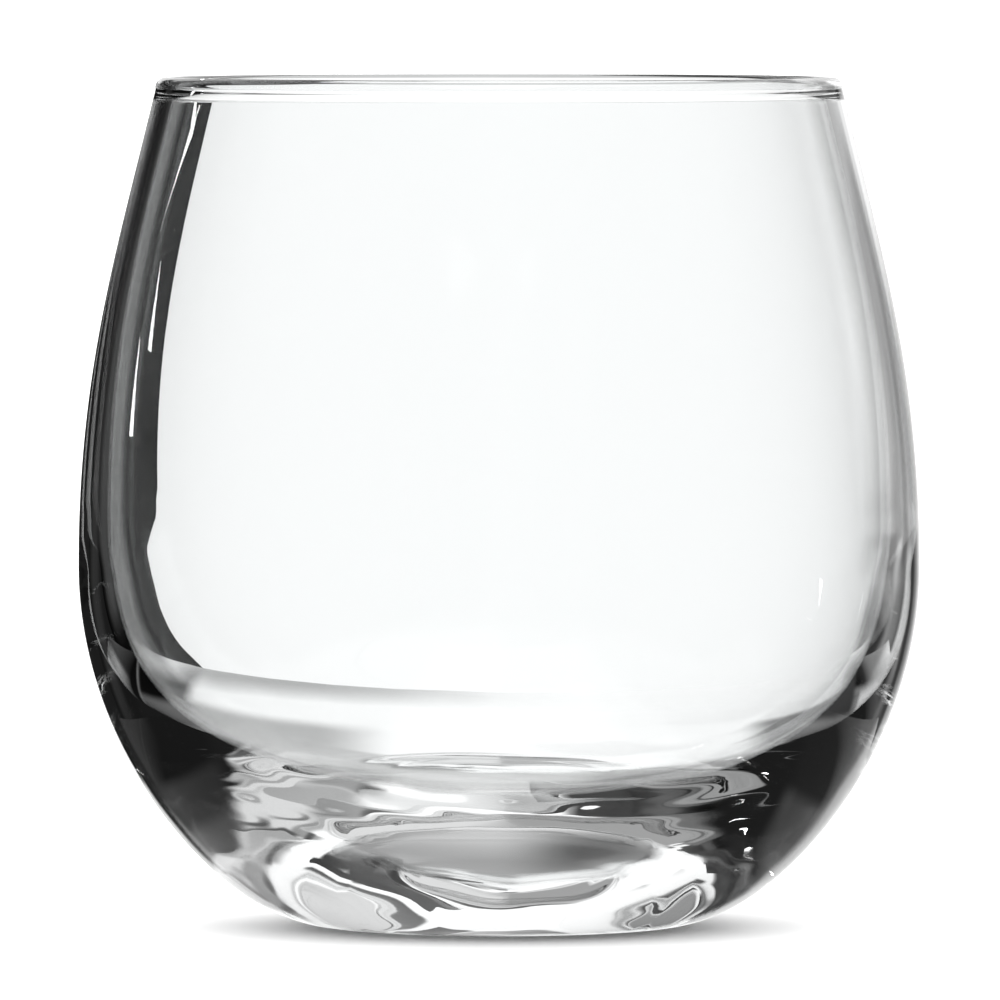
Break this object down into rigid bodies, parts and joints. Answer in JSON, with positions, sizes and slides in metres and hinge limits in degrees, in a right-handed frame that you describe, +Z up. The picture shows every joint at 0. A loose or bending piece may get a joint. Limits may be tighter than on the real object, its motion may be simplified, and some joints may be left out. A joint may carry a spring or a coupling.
{
  "type": "gin tumbler",
  "caption": "Stemless drinking glass with a round belly, a narrower mouth with a rounded lip, and a heavy clear base with a shallow hollow under it.",
  "frame": {"origin": "centre of the standing ring, on the table plane", "axes": "+Z up along the glass's axis, towards the mouth; X and Y in the table plane, with the picture taken along +Y"},
  "size_m": [0.0952, 0.0952, 0.096],
  "materials": {
    "clear_glass": "clear soda-lime glass, blown in a mould and fire-polished, with faint waves in the heavy base"
  },
  "bodies": {
    "root": {"tumbler": "clear_glass"}
  },
  "joints": []
}
